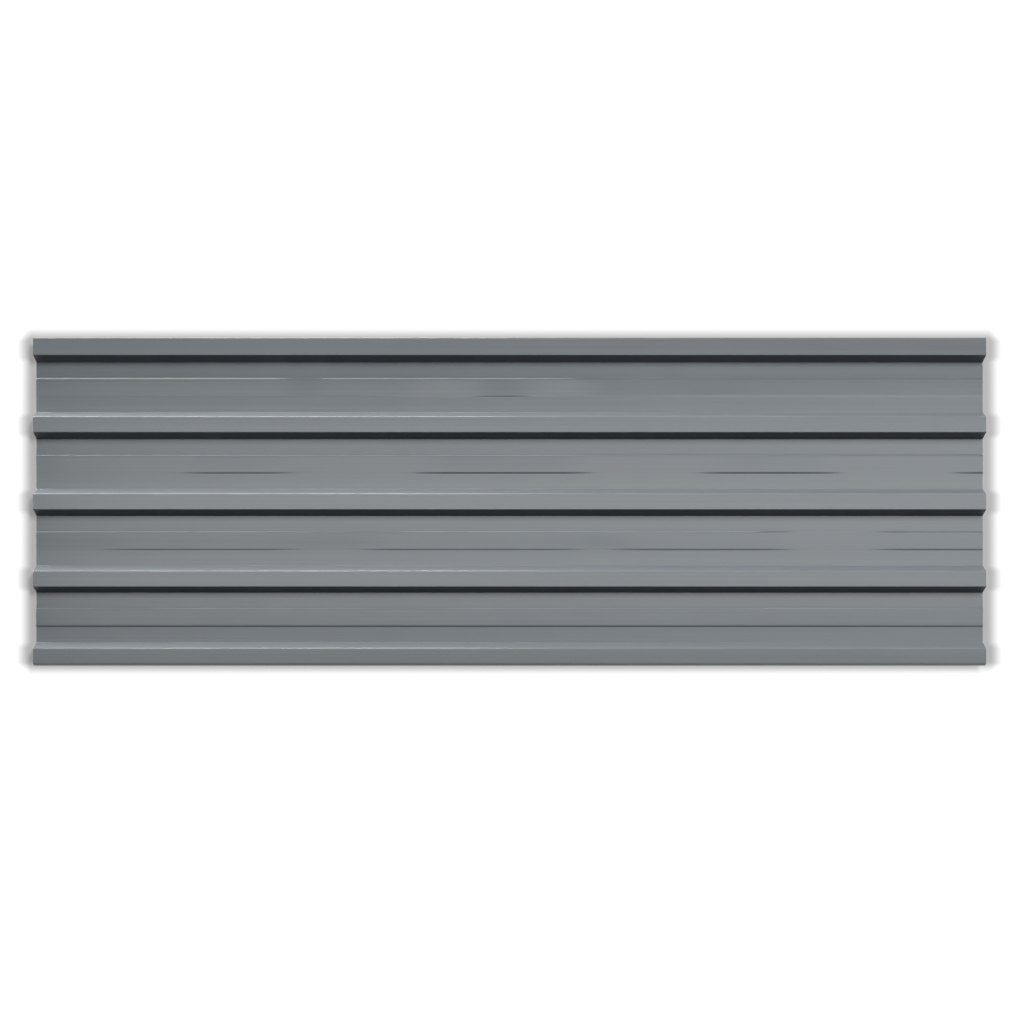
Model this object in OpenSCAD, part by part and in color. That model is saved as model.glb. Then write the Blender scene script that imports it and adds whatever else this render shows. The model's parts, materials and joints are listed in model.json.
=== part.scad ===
// Roll-formed steel sheet with trapezoidal ribs, lying flat with its ribs up and its length along X

/* [Sheet] */
// Length of the sheet along its ribs
sheet_length = 1290; // [600:10:3000]
// Thickness of the coated steel
sheet_thickness = 0.4; // [0.3:0.05:0.8]

/* [Ribs] */
// Number of ribs across the sheet, the two lap ribs at its edges included
rib_count = 5; // [2:1:9]
// Distance between the middles of neighbouring ribs
rib_pitch = 104.5; // [96:0.5:140]
// Overall height, from the underside of the pans to the top of the crowns
rib_height = 16; // [10:0.5:30]
// Width of a rib's flat crown, between the corners of its bends
crown_width = 21; // [14:0.5:28]
// Sideways run of a web between crown and pan
web_run = 7.5; // [5:0.25:12]

/* [Side laps] */
// Drop of the lips that end the outer ribs: the near one slopes as the webs do, the far one hangs straight down
lip_drop = 5; // [3:0.5:8]

/* [Pan stiffeners] */
// Width of the raised strip along the middle of a pan, between the middles of its two steps
strip_width = 24; // [14:0.5:30]
// Rise of the strip above the pan
strip_rise = 1.2; // [0.5:0.1:2]
// Sideways run of one step
step_run = 2; // [1.5:0.25:5]

/* [Bends] */
// Inside radius of the bends at crowns, feet and lips
rib_bend = 1; // [0.5:0.25:3]
// Inside radius of the shallow bends at the steps
step_bend = 2; // [0.5:0.5:6]

/* [Hidden] */
// Largest turn, in degrees, between neighbouring points of a bend
bend_resolution = 8;
// Largest share of a step's slope that one of its two bends may take up
bend_share = 0.48;
// Largest share of the straight lip that its bend may take up
lip_bend_share = 0.9;

// The section is drawn along the middle of the steel, half the thickness from either surface
half_thickness = sheet_thickness / 2;
pan_level = half_thickness;
crown_level = rib_height - half_thickness;
strip_level = pan_level + strip_rise;

half_crown = crown_width / 2;
half_foot = half_crown + web_run;
web_rise = crown_level - pan_level;
lip_run = lip_drop * web_run / web_rise;
// The far crown is wider, so that its straight lip lies as far out as the end of the sloping one
far_extra = lip_run + half_thickness * (web_rise / norm([web_run, web_rise]) - 1);
half_strip_top = (strip_width - step_run) / 2;
half_strip_foot = (strip_width + step_run) / 2;

step_slope = atan2(strip_rise, step_run);
longest_step_radius = bend_share * norm([step_run, strip_rise]) / tan(step_slope / 2);
rib_radius = rib_bend + half_thickness;
far_lip_radius = min(rib_radius, lip_bend_share * lip_drop);
step_radius = min(step_bend + half_thickness, longest_step_radius);

function rib_middle(i) = (i - (rib_count - 1) / 2) * rib_pitch;

function unit(v) = v / norm(v);

function left_of(v) = [-v.y, v.x];

function turned(v, angle) = v * cos(angle) + left_of(v) * sin(angle);

function reversed(list) = [for (i = [len(list) - 1 : -1 : 0]) list[i]];

// Corner of the section's middle line: its place across and up, and the radius of its bend
function corner(across, up, radius) = [[across, up], radius];

// A rib runs foot, crown, crown, foot. A lap rib has a lip in place of its outer foot
function rib_corners(i) =
    let (
        y = rib_middle(i),
        near_edge = y - half_crown,
        far_edge = y + half_crown,
        far_lip = far_edge + far_extra,
        foot = pan_level,
        lip_end = crown_level - lip_drop
    )
    concat(
        i == 0
            ? [corner(near_edge - lip_run, lip_end, 0)]
            : [corner(y - half_foot, foot, rib_radius)],
        [corner(near_edge, crown_level, rib_radius)],
        i == rib_count - 1
            ? [corner(far_lip, crown_level, far_lip_radius), corner(far_lip, lip_end, 0)]
            : [corner(far_edge, crown_level, rib_radius), corner(y + half_foot, foot, rib_radius)]
    );

// The raised strip in the middle of the pan that follows rib i
function strip_corners(i) =
    let (y = rib_middle(i) + rib_pitch / 2)
    [
        corner(y - half_strip_foot, pan_level, step_radius),
        corner(y - half_strip_top, strip_level, step_radius),
        corner(y + half_strip_top, strip_level, step_radius),
        corner(y + half_strip_foot, pan_level, step_radius)
    ];

corners = [
    for (i = [0 : rib_count - 1])
        each concat(rib_corners(i), i < rib_count - 1 ? strip_corners(i) : [])
];
last = len(corners) - 1;

function point(i) = corners[i][0];

// Direction of the middle line from corner i to the next one
function course(i) = unit(point(i + 1) - point(i));

// Points of one surface round the bend at corner i, the surface being `side` to the left of the middle line
function bend_points(i, side) =
    let (
        into = course(i - 1),
        onward = course(i),
        turn = atan2(cross(into, onward), into * onward),
        way = sign(turn),
        radius = corners[i][1],
        start = point(i) - into * radius * tan(abs(turn) / 2),
        centre = start + left_of(into) * radius * way,
        spoke = -left_of(into) * (radius * way - side),
        steps = ceil(abs(turn) / bend_resolution)
    )
    [for (k = [0 : steps]) centre + turned(spoke, turn * k / steps)];

// One surface of the sheet from lip to lip, `side` to the left of the middle line
function surface_line(side) = concat(
    [point(0) + left_of(course(0)) * side],
    [for (i = [1 : last - 1]) each bend_points(i, side)],
    [point(last) + left_of(course(last - 1)) * side]
);

module section() {
    polygon(concat(surface_line(-half_thickness), reversed(surface_line(half_thickness))));
}

module profiled_sheet() {
    color("#83898c")
        rotate([90, 0, 90])
            linear_extrude(height = sheet_length, center = true)
                section();
}

profiled_sheet();
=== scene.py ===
"""A roll-formed steel sheet with trapezoidal ribs: its wavy coated skin, on a pale floor in soft light."""

import json
import math

import bmesh
import bpy
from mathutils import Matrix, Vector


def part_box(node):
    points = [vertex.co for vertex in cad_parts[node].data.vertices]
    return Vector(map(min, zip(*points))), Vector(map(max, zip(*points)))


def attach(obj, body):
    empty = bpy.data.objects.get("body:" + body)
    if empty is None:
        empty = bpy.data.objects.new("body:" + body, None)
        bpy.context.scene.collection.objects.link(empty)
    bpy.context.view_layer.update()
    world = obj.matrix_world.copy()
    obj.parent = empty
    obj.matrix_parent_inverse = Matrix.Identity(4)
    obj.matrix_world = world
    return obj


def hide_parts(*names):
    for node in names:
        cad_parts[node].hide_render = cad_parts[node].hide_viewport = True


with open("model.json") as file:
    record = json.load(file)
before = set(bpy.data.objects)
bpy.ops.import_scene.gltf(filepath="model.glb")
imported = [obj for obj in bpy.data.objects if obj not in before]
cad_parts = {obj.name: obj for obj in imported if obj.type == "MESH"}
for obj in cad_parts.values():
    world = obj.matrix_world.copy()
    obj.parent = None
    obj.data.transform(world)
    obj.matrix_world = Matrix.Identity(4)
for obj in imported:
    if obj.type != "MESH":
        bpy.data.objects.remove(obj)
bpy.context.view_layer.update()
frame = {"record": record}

bl_info = {
    "name": "Profiled steel sheet",
    "version": (1, 0, 0),
    "blender": (4, 5, 0),
    "location": "View3D > Sidebar > Sheet",
    "description": "Rolls, coats and lights a ribbed steel sheet",
    "category": "Object",
}

NODE = "profiled_sheet"

# What the frame gives: the sheet's box, and the places of its fastening faces
LOW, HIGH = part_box(NODE)
FACES = {mount["name"]: mount["pos_m"] for mount in frame["record"]["mounts"]}
SHEET_LENGTH = HIGH.x - LOW.x
SHEET_WIDTH = HIGH.y - LOW.y
RIB_HEIGHT = HIGH.z - LOW.z
SHEET_THICKNESS = RIB_HEIGHT - FACES["lap_seat"][2]
RIB_PITCH = 2 * FACES["strip_top"][1]
OUTER_RIB = FACES["lap_seat"][1]
STRIP_RISE = FACES["strip_top"][2] - SHEET_THICKNESS
PAN_COUNT = round(2 * OUTER_RIB / RIB_PITCH)

# Rows of faces across each flat of the section, and round each kind of bend
CROWN_ROWS = 3
WEB_ROWS = 2
SIDE_ROWS = 3
STRIP_ROWS = 4
RIB_BEND_ROWS = 5
STEP_BEND_ROWS = 3

# How near, in metres, an edge has to lie to a place to be found there
FINDING = 1e-5
# How much short of the frame's box each end and lip stays, so that the waves cannot push it out
END_PLAY = 1e-5
# Largest angle, in degrees, between faces that are shaded as one round surface
SMOOTH_ANGLE = 35

# Where the steps of the raised strips stand up: start and end in metres along the sheet from its middle, and
# the share of the full rise they have there. Stretches that overlap by a taper run into each other. Each
# pan, from the near side, has its near step first and then its far step.
STEP_STRETCHES = (
    (((-0.70, 0.70, 0.85),),
     ((-0.72, -0.43, 0.72), (-0.50, -0.04, 0.78), (-0.11, 0.37, 0.835), (0.30, 0.70, 0.89))),
    (((-0.57, -0.27, 0.27), (-0.22, 0.12, 0.35), (0.12, 0.40, 0.45), (0.48, 0.70, 0.5)),
     ((-0.72, -0.45, 0.715), (-0.52, -0.26, 0.765), (-0.33, -0.10, 0.73), (-0.17, 0.40, 0.82),
      (0.48, 0.70, 0.75))),
    (((-0.47, -0.27, 0.6), (-0.15, 0.13, 0.9), (0.24, 0.47, 0.9), (0.59, 0.70, 0.9)),
     ((-0.72, -0.45, 0.64), (-0.52, -0.05, 0.66), (-0.12, 0.70, 0.69))),
    (((-0.70, -0.09, 0.3), (-0.08, 0.06, 0.6), (0.20, 0.70, 0.2)),
     ((-0.70, -0.26, 0.7), (-0.31, 0.14, 0.6), (0.28, 0.70, 0.2))),
)
# Length over which a step comes up at the start of a stretch, and goes down at its end
STRETCH_TAPER = 0.07
# Share of the full rise that is left where a step lies slack
NEAR_SLACK_STAND, FAR_SLACK_STAND = 0.05, 0.06

# Length of the slow ripples, and how deep they are in the crowns as a share of their height in the pans
RIPPLE_LENGTH = 0.12
CROWN_RIPPLE = 1 / 3

# Patterns of the coat: how fine each is along, across and up the sheet, and its detail
DRIFT_FINENESS, DRIFT_DETAIL = (2.0, 6.0, 6.0), 3.0
LINE_FINENESS, LINE_DETAIL = (1.5, 420.0, 420.0), 2.0
PEEL_FINENESS, PEEL_DETAIL = (650.0, 650.0, 650.0), 1.0
RUB_FINENESS, RUB_DETAIL = (9.0, 260.0, 260.0), 2.0
CHIP_FINENESS, CHIP_DETAIL = (900.0, 900.0, 900.0), 2.0
# Noise stays mostly between these two values
NOISE_LOW, NOISE_HIGH = 0.25, 0.75
# How far the coat's tone, its roughness and the bare edges' tone stray either way
TONE_SPREAD = 0.07
SATIN_SPREAD = 0.02
EDGE_TONE_SPREAD = 0.15
# Least and most roughness of the bare edges
EDGE_ROUGHNESS = (0.35, 0.55)
# Strength of the relief of roller lines and peel, and their depth in metres
LINE_RELIEF, LINE_DEPTH = 0.25, 0.00002
PEEL_RELIEF, PEEL_DEPTH = 0.45, 0.00003

# Rubbed edges: width, tone and polish, and the noise at which a streak starts and is full
RUB_WIDTH = 0.0018
RUB_TONE = 1.2
RUB_POLISH = 0.05
RUB_START, RUB_FULL = 0.48, 0.68
# Chipped ends: width and added roughness, and the sum of nearness to the end and noise at which a chip
# starts and is full
CHIP_WIDTH = 0.0012
CHIP_ROUGHNESS = 0.3
CHIP_START, CHIP_FULL = 1.3, 1.4

# Stage: radius and number of sides, height of its backdrop, and gap under the sheet
STAGE_RADIUS = 6.0
STAGE_SIDES = 64
BACKDROP_HEIGHT = 3.0
FLOOR_GAP = 0.0003
# How white the floor looks: away from the sheet, and in the soft shade painted into its glow right beside it
FLOOR_LIFT, PAINTED_SHADE_LIFT = 0.87, 0.27
# Where the painted shade's middle lies, how far its full depth reaches beyond the sheet's ends and sides,
# how much further it reaches at the ribs' ends, and its fade
SHADE_MIDDLE = (0, 0.003, 0)
SHADE_SPREAD = (0.0045, -0.0042)
SHADE_AT_RIBS = 0.0048
SHADE_FADE = 0.021
# Strength of the even light between the lamps
ROOM_LIGHT = 0.005
WHITE, BLACK = (1, 1, 1, 1), (0, 0, 0, 1)

# Each lamp's place, its turn in degrees about X, Y and Z from facing straight down, and its size. The side
# lamp has a warm tint and a beam of some degrees, so that its light fades towards the right end.
KEY_PLACE, KEY_TURN, KEY_SIZE = (2.0, 2.75, 4.0), (-31.6, 26.6, 0), (1.2, 2.0)
SIDE_PLACE, SIDE_TURN, SIDE_SIZE = (-0.75, 2.3, 0.36), (-90, 0, -22), (1.6, 0.5)
SIDE_TINT, SIDE_BEAM = (1.0, 0.97, 0.94), 120
STRIP_PLACE, STRIP_TURN, STRIP_SIZE = (0.11, 0.092, 2.0), (0, 14, 0), (3.12, 0.635)
PANEL_PLACE, PANEL_TURN, PANEL_SIZE = (0.0, 1.6, 1.1), (-55, 0, 12), (3.0, 0.55)

# The picture's side and the place in it of the sheet's middle, in pixels, and the width of the camera's
# sensor in millimetres
IMAGE_SIDE = 1024
SHEET_MIDDLE_PIXEL = (509.6, 501.6)
SENSOR_WIDTH = 36.0


class SheetForm(bpy.types.PropertyGroup):
    """Sizes of the rolled section, and how far the thin steel waves out of true"""

    crown_width: bpy.props.FloatProperty(
        name="Crown width", description="Flat top of a rib, between the corners of its bends",
        default=0.021, unit="LENGTH", precision=4)
    web_run: bpy.props.FloatProperty(
        name="Web run", description="Sideways run of a web between crown and pan",
        default=0.0075, unit="LENGTH", precision=4)
    lip_drop: bpy.props.FloatProperty(
        name="Lip drop",
        description="Drop of the outer ribs' lips, the near one sloping and the far one straight",
        default=0.005, unit="LENGTH", precision=4)
    strip_width: bpy.props.FloatProperty(
        name="Strip width", description="Raised strip in a pan, between the middles of its steps",
        default=0.024, unit="LENGTH", precision=4)
    step_run: bpy.props.FloatProperty(
        name="Step run", description="Sideways run of one step of the raised strip",
        default=0.002, unit="LENGTH", precision=4)
    rib_bend: bpy.props.FloatProperty(
        name="Rib bend", description="Inside radius of the bends at crowns, feet and lips",
        default=0.001, unit="LENGTH", precision=4)
    step_bend: bpy.props.FloatProperty(
        name="Step bend", description="Inside radius of the shallow bends at the steps",
        default=0.002, unit="LENGTH", precision=4)
    stations: bpy.props.IntProperty(
        name="Stations", description="Faces along the sheet's length", default=160, min=8)
    ripple: bpy.props.FloatProperty(
        name="Ripple", description="Height of the slow ripples in the pans",
        default=0.0004, unit="LENGTH", precision=5)


class SheetFinish(bpy.types.PropertyGroup):
    """Colours and gloss of the coated steel"""

    coat_colour: bpy.props.FloatVectorProperty(
        name="Coat", description="Colour of the weather side's coat",
        default=(0.160, 0.180, 0.194), size=3, subtype="COLOR", min=0, max=1)
    back_colour: bpy.props.FloatVectorProperty(
        name="Back coat", description="Colour of the thin coat on the underside",
        default=(0.300, 0.310, 0.310), size=3, subtype="COLOR", min=0, max=1)
    edge_colour: bpy.props.FloatVectorProperty(
        name="Cut edge", description="Colour of the bare steel and zinc at the cut edges",
        default=(0.520, 0.530, 0.540), size=3, subtype="COLOR", min=0, max=1)
    coat_roughness: bpy.props.FloatProperty(
        name="Coat roughness", description="Roughness of the satin coat",
        default=0.21, min=0, max=1, subtype="FACTOR")
    back_roughness: bpy.props.FloatProperty(
        name="Back roughness", description="Roughness of the thin coat on the underside",
        default=0.5, min=0, max=1, subtype="FACTOR")


class SheetStage(bpy.types.PropertyGroup):
    """Where the camera hangs over the sheet, the lamps' power and the floor's colour"""

    camera_height: bpy.props.FloatProperty(
        name="Camera height", description="Height of the camera over the crowns",
        default=2.08, unit="LENGTH")
    camera_back: bpy.props.FloatProperty(
        name="Camera offset", description="How far the camera hangs to the near side of the middle",
        default=0.147, unit="LENGTH")
    framed_length: bpy.props.FloatProperty(
        name="Framed length", description="Width of the picture, measured on the crowns",
        default=1.3855, unit="LENGTH", precision=4)
    key_power: bpy.props.FloatProperty(
        name="Key lamp", description="Power of the large lamp at the back right",
        default=300, unit="POWER")
    side_power: bpy.props.FloatProperty(
        name="Side lamp", description="Power of the low lamp at the back left",
        default=40, unit="POWER")
    gloss_power: bpy.props.FloatProperty(
        name="Gloss strip", description="Power of the overhead strip that shows in the gloss",
        default=19.3, unit="POWER")
    panel_power: bpy.props.FloatProperty(
        name="Gloss panel",
        description="Power of the panel at the back that shows in the gloss of the steps",
        default=36, unit="POWER")
    floor_colour: bpy.props.FloatVectorProperty(
        name="Floor", description="Colour of the floor",
        default=(0.22, 0.22, 0.22), size=3, subtype="COLOR", min=0, max=1)


# Section

def web_drop():
    """Height from the middle of the steel in a pan to the middle of the steel in a crown"""
    return RIB_HEIGHT - SHEET_THICKNESS


def pan_level():
    """Height of the middle of the steel in a pan"""
    return LOW.z + SHEET_THICKNESS / 2


def crown_level():
    """Height of the middle of the steel in a crown"""
    return HIGH.z - SHEET_THICKNESS / 2


def pan_middle(pan):
    """Place across the sheet of the middle of a pan, counted from the near side"""
    return -OUTER_RIB + RIB_PITCH * (pan + 0.5)


def pan_moves(form):
    """Moves across and up that carry the edge from one crown over a pan to the far side of the next crown.
    Each is (across, up, rows, the kind of bend it ends in)."""
    pan_width = RIB_PITCH - form.crown_width - 2 * form.web_run
    side = (pan_width - form.strip_width - form.step_run) / 2
    strip = form.strip_width - form.step_run
    return [
        (form.web_run, -web_drop(), WEB_ROWS, "rib"),
        (side, 0, SIDE_ROWS, "step"),
        (form.step_run, STRIP_RISE, 1, "step"),
        (strip, 0, STRIP_ROWS, "step"),
        (form.step_run, -STRIP_RISE, 1, "step"),
        (side, 0, SIDE_ROWS, "rib"),
        (form.web_run, web_drop(), WEB_ROWS, "rib"),
        (form.crown_width, 0, CROWN_ROWS, "rib"),
    ]


def lip_run(form):
    """Sideways run of the near lip, which slopes as the webs do and stays a little inside the box"""
    return form.lip_drop * form.web_run / web_drop() - END_PLAY


def far_extra(form):
    """How much wider the far crown is, so that its straight lip lies as far out as the sloping one's end"""
    slant = web_drop() / math.hypot(form.web_run, web_drop())
    return lip_run(form) + SHEET_THICKNESS / 2 * (slant - 1)


def bend_reach(radius, across, up):
    """How far a bend of this radius reaches along the flats on either side of a fold of this slope"""
    return radius * math.tan(math.atan2(up, across) / 2)


# Modelling

def clear_selection():
    """Deselects every object"""
    bpy.ops.object.select_all(action="DESELECT")


def near(a, b):
    """Whether two places along one axis are the same"""
    return abs(a - b) < FINDING


def select_rows(sheet, places):
    """Selects the lengthwise edges that lie at these places, across and up, of the section"""
    bpy.ops.mesh.select_all(action="DESELECT")
    edges = bmesh.from_edit_mesh(sheet.data)
    for edge in edges.edges:
        a, b = (corner.co for corner in edge.verts)
        if near(a.y, b.y) and near(a.z, b.z):
            if any(near(a.y, across) and near(a.z, up) for across, up in places):
                edge.select_set(True)
    edges.select_flush_mode()
    bmesh.update_edit_mesh(sheet.data)


def draw_out(across, up, rows):
    """Draws the selected edge out by this much, in equal rows"""
    for _ in range(rows):
        bpy.ops.mesh.extrude_region_move(
            TRANSFORM_OT_translate={"value": (0, across / rows, up / rows)})


def add_first_crown(form):
    """Adds the near outer rib's crown as a flat strip along the sheet"""
    clear_selection()
    bpy.ops.mesh.primitive_grid_add(
        x_subdivisions=form.stations, y_subdivisions=CROWN_ROWS, size=1,
        location=(0, -OUTER_RIB, crown_level()))
    sheet = bpy.context.object
    sheet.name = "coated_sheet"
    sheet.data.name = "coated_sheet"
    sheet.scale = (SHEET_LENGTH - 2 * END_PLAY, form.crown_width, 1)
    bpy.ops.object.transform_apply(location=True, rotation=False, scale=True)
    return sheet


def roll_section(sheet, form):
    """Draws the strip's edges out round the whole section, and returns its folds' places by kind of bend"""
    half_crown = form.crown_width / 2
    across, up = -OUTER_RIB - half_crown, crown_level()
    folds = {"rib": [(across, up)], "step": [], "lip": []}
    bpy.ops.mesh.select_mode(type="EDGE")
    select_rows(sheet, [(across, up)])
    draw_out(-lip_run(form), -form.lip_drop, 1)
    across += form.crown_width
    folds["rib"].append((across, up))
    select_rows(sheet, [(across, up)])
    for _ in range(PAN_COUNT):
        for aside, rise, rows, bend in pan_moves(form):
            draw_out(aside, rise, rows)
            across, up = across + aside, up + rise
            folds[bend].append((across, up))
    # The last crown runs on to its lip, so it has no fold where its last move ends
    folds["rib"].pop()
    draw_out(far_extra(form), 0, 1)
    folds["lip"].append((across + far_extra(form), up))
    draw_out(0, -form.lip_drop, 1)
    return folds


def bend_folds(sheet, form, folds):
    """Rounds the sharp folds to the bend radii of the steel's middle"""
    rib_radius = form.rib_bend + SHEET_THICKNESS / 2
    step_radius = form.step_bend + SHEET_THICKNESS / 2
    bends = (
        ("rib", bend_reach(rib_radius, form.web_run, web_drop()), RIB_BEND_ROWS),
        ("step", bend_reach(step_radius, form.step_run, STRIP_RISE), STEP_BEND_ROWS),
        ("lip", bend_reach(rib_radius, 0, form.lip_drop), RIB_BEND_ROWS),
    )
    for kind, reach, rows in bends:
        select_rows(sheet, folds[kind])
        bpy.ops.mesh.bevel(offset_type="OFFSET", offset=reach, segments=rows, profile=0.5, affect="EDGES")
    bpy.ops.mesh.select_all(action="SELECT")
    bpy.ops.mesh.normals_make_consistent(inside=False)
    if sum(face.normal.z for face in bmesh.from_edit_mesh(sheet.data).faces) < 0:
        bpy.ops.mesh.flip_normals()


def share_between(value, start, end):
    """How far value lies from start to end, from 0 to 1, easing in and out"""
    share = min(max((value - start) / (end - start), 0), 1)
    return share * share * (3 - 2 * share)


def step_stand(stretches, slack_stand, along):
    """How much of its full rise a step has at this place along the sheet"""
    stand = slack_stand
    for start, end, full in stretches:
        taper = min(STRETCH_TAPER, (end - start) / 2)
        inside = share_between(along, start, start + taper) * (1 - share_between(along, end - taper, end))
        stand += (full - slack_stand) * inside
    return stand


def slacken_strips(sheet, form):
    """Lets the raised strips down between the stretches where their steps stand up, as thin steel does"""
    slack = sheet.vertex_groups.new(name="slack")
    strip_foot = (form.strip_width + form.step_run) / 2
    for corner in sheet.data.vertices:
        lift = (corner.co.z - pan_level()) / STRIP_RISE
        for pan, (near_step, far_step) in enumerate(STEP_STRETCHES):
            aside = corner.co.y - pan_middle(pan)
            if abs(aside) < strip_foot and lift > 0:
                far_share = share_between(aside, -strip_foot, strip_foot)
                stand = step_stand(near_step, NEAR_SLACK_STAND, corner.co.x) * (1 - far_share)
                stand += step_stand(far_step, FAR_SLACK_STAND, corner.co.x) * far_share
                slack.add([corner.index], lift * (1 - stand), "REPLACE")
    displace(sheet, "slack", -STRIP_RISE)


def ripple_flats(sheet, form):
    """Raises slow ripples in the pans, and presses shallower ones into the crowns"""
    ripples = bpy.data.textures.new("pan_ripple", "CLOUDS")
    ripples.noise_scale = RIPPLE_LENGTH
    pans = sheet.vertex_groups.new(name="pans")
    crowns = sheet.vertex_groups.new(name="crowns")
    for corner in sheet.data.vertices:
        if corner.co.z < pan_level() + 2 * STRIP_RISE:
            pans.add([corner.index], 1, "REPLACE")
        elif corner.co.z > crown_level() - STRIP_RISE / 2:
            crowns.add([corner.index], 1, "REPLACE")
    displace(sheet, "pans", form.ripple, ripples)
    displace(sheet, "crowns", -form.ripple * CROWN_RIPPLE, ripples)


def displace(sheet, group_name, distance, texture=None):
    """Moves a group of the sheet's corners up by a distance, times their weight and the texture. The group
    is named, because applying a modifier makes all the groups anew."""
    bpy.ops.object.modifier_add(type="DISPLACE")
    wave = sheet.modifiers[-1]
    wave.vertex_group = group_name
    wave.direction = "Z"
    wave.mid_level = 0
    wave.strength = distance
    if texture:
        wave.texture = texture
        wave.texture_coords = "LOCAL"
    bpy.ops.object.modifier_apply(modifier=wave.name)


def thicken(sheet):
    """Gives the steel its thickness, with the back coat underneath and bare metal at the cut edges"""
    bpy.ops.object.modifier_add(type="SOLIDIFY")
    wall = sheet.modifiers[-1]
    wall.thickness = SHEET_THICKNESS
    wall.offset = 0
    wall.use_even_offset = True
    wall.material_offset = 1
    wall.material_offset_rim = 2
    bpy.ops.object.modifier_apply(modifier=wall.name)


def smooth_bends(sheet):
    """Shades the bends round and the flats flat"""
    bpy.ops.object.shade_smooth_by_angle(angle=math.radians(SMOOTH_ANGLE))
    bpy.ops.object.modifier_add(type="WEIGHTED_NORMAL")
    shading = sheet.modifiers[-1]
    shading.keep_sharp = True
    bpy.ops.object.modifier_apply(modifier=shading.name)


# Finishes

def add_node(tree, kind, inputs=None, **settings):
    """Adds a node, sets it up, and links or fills its inputs"""
    node = tree.nodes.new(kind)
    for name, value in settings.items():
        setattr(node, name, value)
    for name, value in (inputs or {}).items():
        if isinstance(value, bpy.types.NodeSocket):
            tree.links.new(value, node.inputs[name])
        else:
            node.inputs[name].default_value = value
    return node


def reckon(tree, operation, *values):
    """Adds a maths node on these values and returns its result"""
    return add_node(tree, "ShaderNodeMath", dict(enumerate(values)), operation=operation).outputs[0]


def ramp(tree, value, start, end, low=0, high=1, **settings):
    """Spreads a value that runs from start to end over low to high, and holds it there beyond"""
    return add_node(tree, "ShaderNodeMapRange", {
        "Value": value, "From Min": start, "From Max": end, "To Min": low, "To Max": high},
        **settings).outputs["Result"]


def noise(tree, place, fineness, detail):
    """Noise that is so fine along, across and up the sheet"""
    stretched = add_node(tree, "ShaderNodeMapping", {"Vector": place, "Scale": fineness})
    grain = add_node(tree, "ShaderNodeTexNoise", {
        "Vector": stretched.outputs[0], "Scale": 1.0, "Detail": detail})
    return grain.outputs["Fac"]


def new_pattern(name, output):
    """Makes a shader node group that turns a place on the sheet into a value. Returns the group, the socket
    that gives the place and the socket that takes the value."""
    group = bpy.data.node_groups.new(name, "ShaderNodeTree")
    group.interface.new_socket("Place", in_out="INPUT", socket_type="NodeSocketVector")
    group.interface.new_socket(output, in_out="OUTPUT", socket_type="NodeSocketFloat")
    given = group.nodes.new("NodeGroupInput")
    made = group.nodes.new("NodeGroupOutput")
    return group, given.outputs["Place"], made.inputs[output]


def drift_group():
    """Slow drift of tone over the coat, with a finer mottle in it"""
    group, place, drift = new_pattern("coat_drift", "Drift")
    group.links.new(noise(group, place, DRIFT_FINENESS, DRIFT_DETAIL), drift)
    return group


def roller_group():
    """Fine lines that the rollers leave along the sheet"""
    group, place, lines = new_pattern("roller_lines", "Lines")
    group.links.new(noise(group, place, LINE_FINENESS, LINE_DETAIL), lines)
    return group


def peel_group():
    """Fine orange peel of a baked coat"""
    group, place, peel = new_pattern("coat_peel", "Peel")
    group.links.new(noise(group, place, PEEL_FINENESS, PEEL_DETAIL), peel)
    return group


def rub_group(half_crown):
    """Broken streaks along the edges of the crowns, where sheets rub on each other in the stack"""
    group, place, rub = new_pattern("crown_rub", "Rub")
    apart = add_node(group, "ShaderNodeSeparateXYZ", {"Vector": place})
    from_rib = reckon(group, "PINGPONG", apart.outputs["Y"], RIB_PITCH / 2)
    off_edge = reckon(group, "ABSOLUTE", reckon(group, "SUBTRACT", from_rib, half_crown))
    edge = ramp(group, off_edge, 0, RUB_WIDTH, 1, 0)
    high = ramp(group, apart.outputs["Z"], crown_level() - RUB_WIDTH, crown_level())
    broken = ramp(group, noise(group, place, RUB_FINENESS, RUB_DETAIL), RUB_START, RUB_FULL)
    group.links.new(reckon(group, "MULTIPLY", reckon(group, "MULTIPLY", edge, high), broken), rub)
    return group


def chip_group():
    """Small chips along the two ends, where the shears broke the coat away"""
    group, place, chips = new_pattern("end_chips", "Chips")
    apart = add_node(group, "ShaderNodeSeparateXYZ", {"Vector": place})
    out = reckon(group, "ABSOLUTE", apart.outputs["X"])
    end = ramp(group, out, SHEET_LENGTH / 2 - CHIP_WIDTH, SHEET_LENGTH / 2)
    uneven = reckon(group, "ADD", end, noise(group, place, CHIP_FINENESS, CHIP_DETAIL))
    group.links.new(ramp(group, uneven, CHIP_START, CHIP_FULL), chips)
    return group


def placed(tree, group, place):
    """Places a node group in a material, on the sheet's own coordinates"""
    node = add_node(tree, "ShaderNodeGroup", node_tree=group)
    tree.links.new(place, node.inputs["Place"])
    return node.outputs[0]


def ranged(tree, value, low, high):
    """Spreads noise over a range"""
    return ramp(tree, value, NOISE_LOW, NOISE_HIGH, low, high)


def shaded(tree, colour, value, spread):
    """A colour that noise makes darker and lighter by up to a share of itself"""
    dark = [c * (1 - spread) for c in colour]
    light = [c * (1 + spread) for c in colour]
    mix = add_node(tree, "ShaderNodeMix", data_type="RGBA")
    tree.links.new(ranged(tree, value, 0, 1), mix.inputs["Factor"])
    mix.inputs["A"].default_value = (*dark, 1)
    mix.inputs["B"].default_value = (*light, 1)
    return mix.outputs["Result"]


def blended(tree, share, under, over):
    """A colour that another covers by a share that varies over the sheet"""
    mix = add_node(tree, "ShaderNodeMix", data_type="RGBA")
    tree.links.new(share, mix.inputs["Factor"])
    tree.links.new(under, mix.inputs["A"])
    mix.inputs["B"].default_value = (*over, 1)
    return mix.outputs["Result"]


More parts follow.
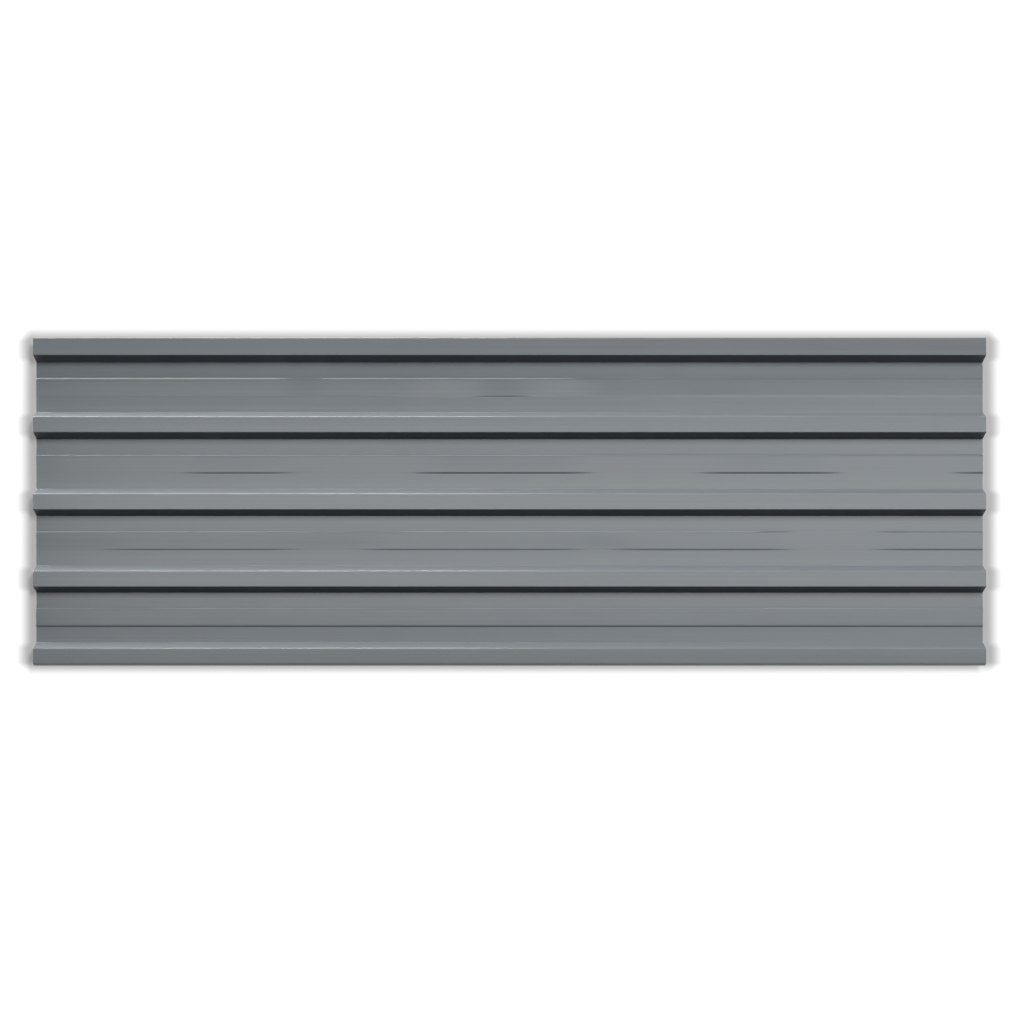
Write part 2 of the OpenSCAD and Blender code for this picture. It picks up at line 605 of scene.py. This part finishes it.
def new_material(name):
    """A material with its tree, its surface shader and the sheet's own coordinates"""
    material = bpy.data.materials.new(name)
    material.use_nodes = True
    tree = material.node_tree
    place = add_node(tree, "ShaderNodeTexCoord").outputs["Object"]
    return material, tree, tree.nodes["Principled BSDF"], place


def coat_material(name, colour, roughness, bare, groups):
    """A baked coat on steel: its tone drifts slowly, peel and roller lines break up its shine, and it is
    rubbed smooth along the crowns' edges and chipped at the ends"""
    material, tree, surface, place = new_material(name)
    drift, lines, peel, rub, chips = (
        placed(tree, groups[effect], place) for effect in ("drift", "roller", "peel", "rub", "chips"))
    tone = reckon(tree, "MULTIPLY", reckon(tree, "ADD", drift, lines), 0.5)
    rubbed = blended(tree, rub, shaded(tree, colour, tone, TONE_SPREAD), [c * RUB_TONE for c in colour])
    tree.links.new(blended(tree, chips, rubbed, bare), surface.inputs["Base Color"])
    tree.links.new(chips, surface.inputs["Metallic"])
    satin = ranged(tree, drift, roughness - SATIN_SPREAD, roughness + SATIN_SPREAD)
    polished = reckon(tree, "MULTIPLY_ADD", rub, -RUB_POLISH, satin)
    worn = reckon(tree, "MULTIPLY_ADD", chips, CHIP_ROUGHNESS, polished)
    tree.links.new(worn, surface.inputs["Roughness"])
    bump_lines = add_node(tree, "ShaderNodeBump", {
        "Height": lines, "Strength": LINE_RELIEF, "Distance": LINE_DEPTH})
    bump = add_node(tree, "ShaderNodeBump", {
        "Height": peel, "Strength": PEEL_RELIEF, "Distance": PEEL_DEPTH,
        "Normal": bump_lines.outputs["Normal"]})
    tree.links.new(bump.outputs["Normal"], surface.inputs["Normal"])
    return material


def edge_material(name, colour, groups):
    """Bare steel and zinc where the sheet was cut"""
    material, tree, surface, place = new_material(name)
    lines = placed(tree, groups["roller"], place)
    tree.links.new(shaded(tree, colour, lines, EDGE_TONE_SPREAD), surface.inputs["Base Color"])
    tree.links.new(ranged(tree, lines, *EDGE_ROUGHNESS), surface.inputs["Roughness"])
    surface.inputs["Metallic"].default_value = 1.0
    return material


def dress(sheet, form, finish):
    """Coats the weather side, then the back, and leaves cut edges bare, in the order that thicken needs"""
    groups = {
        "drift": drift_group(),
        "roller": roller_group(),
        "peel": peel_group(),
        "rub": rub_group(form.crown_width / 2),
        "chips": chip_group(),
    }
    bare = finish.edge_colour
    for name, colour, roughness in (
            ("satin_coat", finish.coat_colour, finish.coat_roughness),
            ("back_coat", finish.back_colour, finish.back_roughness)):
        sheet.data.materials.append(coat_material(name, colour, roughness, bare, groups))
    sheet.data.materials.append(edge_material("cut_edge", bare, groups))


# Stage

def hides_from_light(tree, shown, plain):
    """Shows one shader to the eye, to gloss and through glass, and another to all other light"""
    path = add_node(tree, "ShaderNodeLightPath").outputs
    gloss = reckon(tree, "MAXIMUM", path["Is Camera Ray"], path["Is Glossy Ray"])
    seen = reckon(tree, "MAXIMUM", gloss, path["Is Transmission Ray"])
    mix = add_node(tree, "ShaderNodeMixShader", {0: seen, 1: plain, 2: shown})
    return mix.outputs[0]


def bare_material(name):
    """A material with only its output node"""
    material = bpy.data.materials.new(name)
    material.use_nodes = True
    tree = material.node_tree
    tree.nodes.remove(tree.nodes["Principled BSDF"])
    return material, tree, tree.nodes["Material Output"]


def vector_step(tree, operation, *values):
    """Adds a vector maths node on these values and returns its outputs"""
    return add_node(tree, "ShaderNodeVectorMath", dict(enumerate(values)), operation=operation).outputs


def beyond_painted_shade(tree, half_crown, half_foot):
    """How far a place on the floor lies beyond the full depth of the painted shade, which reaches further at
    the ribs' ends
    """
    place = add_node(tree, "ShaderNodeTexCoord").outputs["Object"]
    spread = vector_step(tree, "ABSOLUTE", vector_step(tree, "SUBTRACT", place, SHADE_MIDDLE)[0])[0]
    across = add_node(tree, "ShaderNodeSeparateXYZ", {"Vector": place}).outputs["Y"]
    from_rib = reckon(tree, "PINGPONG", across, RIB_PITCH / 2)
    half_length = SHEET_LENGTH / 2 + SHADE_SPREAD[0]
    half_width = SHEET_WIDTH / 2 + SHADE_SPREAD[1]
    reach = ramp(tree, from_rib, half_crown, half_foot, half_length + SHADE_AT_RIBS, half_length)
    half = add_node(tree, "ShaderNodeCombineXYZ", {"X": reach, "Y": half_width}).outputs[0]
    outside = vector_step(tree, "MAXIMUM", vector_step(tree, "SUBTRACT", spread, half)[0], (0, 0, 0))[0]
    return vector_step(tree, "LENGTH", outside)["Value"]


def floor_material(colour, half_crown, half_foot):
    """A pale floor that looks white, with a soft shade painted into its glow round where the sheet lies; its
    plain part keeps the sheet's real shadow
    """
    material, tree, output = bare_material("pale_floor")
    plain = add_node(tree, "ShaderNodeBsdfDiffuse", {"Color": (*colour, 1)}).outputs[0]
    away = beyond_painted_shade(tree, half_crown, half_foot)
    # Painted shade: the floor's glow is dimmed near the sheet's outline by this formula, apart from any cast
    # shadow
    glow_with_painted_shade = ramp(tree, away, 0, SHADE_FADE, PAINTED_SHADE_LIFT, FLOOR_LIFT, interpolation_type="SMOOTHSTEP")
    white = add_node(tree, "ShaderNodeEmission", {"Strength": glow_with_painted_shade}).outputs[0]
    lifted = add_node(tree, "ShaderNodeAddShader", {0: plain, 1: white}).outputs[0]
    tree.links.new(hides_from_light(tree, lifted, plain), output.inputs["Surface"])
    return material


def backdrop_material():
    """A white wall round the stage that sheds no light of its own"""
    material, tree, output = bare_material("white_backdrop")
    dark = add_node(tree, "ShaderNodeBsdfDiffuse", {"Color": BLACK}).outputs[0]
    white = add_node(tree, "ShaderNodeEmission", {"Strength": 1.0}).outputs[0]
    tree.links.new(hides_from_light(tree, white, dark), output.inputs["Surface"])
    return material


def lay_floor(stage, form):
    """Lays a round floor just under the sheet, with a wall round it"""
    level = LOW.z - FLOOR_GAP
    half_crown = form.crown_width / 2
    clear_selection()
    bpy.ops.mesh.primitive_circle_add(
        vertices=STAGE_SIDES, radius=STAGE_RADIUS, fill_type="NGON", location=(0, 0, level))
    floor = bpy.context.object
    floor.name = "floor"
    floor.data.materials.append(floor_material(stage.floor_colour, half_crown, half_crown + form.web_run))
    bpy.ops.mesh.primitive_cylinder_add(
        vertices=STAGE_SIDES, radius=STAGE_RADIUS, depth=BACKDROP_HEIGHT, end_fill_type="NOTHING",
        location=(0, 0, level + BACKDROP_HEIGHT / 2))
    wall = bpy.context.object
    wall.name = "backdrop"
    wall.data.materials.append(backdrop_material())


def dim_room():
    """Leaves only a little light between the lamps, so that shaded webs stay dark"""
    world = bpy.data.worlds.new("dim_room")
    world.use_nodes = True
    background = world.node_tree.nodes["Background"]
    background.inputs["Color"].default_value = WHITE
    background.inputs["Strength"].default_value = ROOM_LIGHT
    bpy.context.scene.world = world


def hang_lamp(name, place, turn, size, power):
    """Hangs a rectangular lamp at a place, turned from facing straight down"""
    clear_selection()
    bpy.ops.object.light_add(type="AREA", location=place, rotation=[math.radians(angle) for angle in turn])
    lamp = bpy.context.object
    lamp.name = name
    lamp.data.name = name
    lamp.data.shape = "RECTANGLE"
    lamp.data.size, lamp.data.size_y = size
    lamp.data.energy = power
    lamp.visible_camera = False
    return lamp


def hang_lamps(stage):
    """Hangs the key lamp, kept out of the gloss, the side lamp, and two lamps seen only in the gloss"""
    key = hang_lamp("key_lamp", KEY_PLACE, KEY_TURN, KEY_SIZE, stage.key_power)
    key.visible_glossy = False
    side = hang_lamp("side_lamp", SIDE_PLACE, SIDE_TURN, SIDE_SIZE, stage.side_power)
    side.data.color = SIDE_TINT
    side.data.spread = math.radians(SIDE_BEAM)
    strip = hang_lamp("gloss_strip", STRIP_PLACE, STRIP_TURN, STRIP_SIZE, stage.gloss_power)
    strip.visible_diffuse = False
    panel = hang_lamp("gloss_panel", PANEL_PLACE, PANEL_TURN, PANEL_SIZE, stage.panel_power)
    panel.visible_diffuse = False


def hang_camera(stage):
    """Hangs the camera over the sheet, looking straight down, with the frame shifted onto it"""
    clear_selection()
    bpy.ops.object.camera_add(
        location=(0, -stage.camera_back, HIGH.z + stage.camera_height), rotation=(0, 0, 0))
    camera = bpy.context.object
    camera.data.sensor_width = SENSOR_WIDTH
    camera.data.lens = SENSOR_WIDTH * stage.camera_height / stage.framed_length
    right, down = (pixel - IMAGE_SIDE / 2 for pixel in SHEET_MIDDLE_PIXEL)
    camera.data.shift_x = -right / IMAGE_SIDE
    camera.data.shift_y = stage.camera_back / stage.framed_length + down / IMAGE_SIDE
    bpy.context.scene.camera = camera


# Operators

class SHEET_OT_roll(bpy.types.Operator):
    """Roll the sheet: its section, bends, waves, thickness and coat"""

    bl_idname = "sheet.roll"
    bl_label = "Roll sheet"

    def execute(self, context):
        form = context.scene.sheet_form
        sheet = add_first_crown(form)
        bpy.ops.object.mode_set(mode="EDIT")
        folds = roll_section(sheet, form)
        bend_folds(sheet, form, folds)
        bpy.ops.object.mode_set(mode="OBJECT")
        slacken_strips(sheet, form)
        ripple_flats(sheet, form)
        dress(sheet, form, context.scene.sheet_finish)
        thicken(sheet)
        smooth_bends(sheet)
        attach(sheet, "root")
        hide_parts(NODE)
        return {"FINISHED"}


class SHEET_OT_stage(bpy.types.Operator):
    """Lay the floor, and set up the lamps and the camera"""

    bl_idname = "sheet.stage"
    bl_label = "Set stage"

    def execute(self, context):
        stage = context.scene.sheet_stage
        lay_floor(stage, context.scene.sheet_form)
        dim_room()
        hang_lamps(stage)
        hang_camera(stage)
        context.scene.view_settings.view_transform = "Standard"
        return {"FINISHED"}


class SHEET_PT_panel(bpy.types.Panel):
    """Sizes, colours and steps of the sheet"""

    bl_idname = "SHEET_PT_panel"
    bl_label = "Profiled sheet"
    bl_space_type = "VIEW_3D"
    bl_region_type = "UI"
    bl_category = "Sheet"

    def draw(self, context):
        layout = self.layout
        for group in (context.scene.sheet_form, context.scene.sheet_finish, context.scene.sheet_stage):
            column = layout.column()
            for name in group.__annotations__:
                column.prop(group, name)
        layout.operator("sheet.roll")
        layout.operator("sheet.stage")


CLASSES = (SheetForm, SheetFinish, SheetStage, SHEET_OT_roll, SHEET_OT_stage, SHEET_PT_panel)


def register():
    for cls in CLASSES:
        bpy.utils.register_class(cls)
    bpy.types.Scene.sheet_form = bpy.props.PointerProperty(type=SheetForm)
    bpy.types.Scene.sheet_finish = bpy.props.PointerProperty(type=SheetFinish)
    bpy.types.Scene.sheet_stage = bpy.props.PointerProperty(type=SheetStage)


def unregister():
    del bpy.types.Scene.sheet_stage
    del bpy.types.Scene.sheet_finish
    del bpy.types.Scene.sheet_form
    for cls in reversed(CLASSES):
        bpy.utils.unregister_class(cls)


def main():
    register()
    bpy.ops.sheet.roll()
    bpy.ops.sheet.stage()


if __name__ == "__main__":
    main()
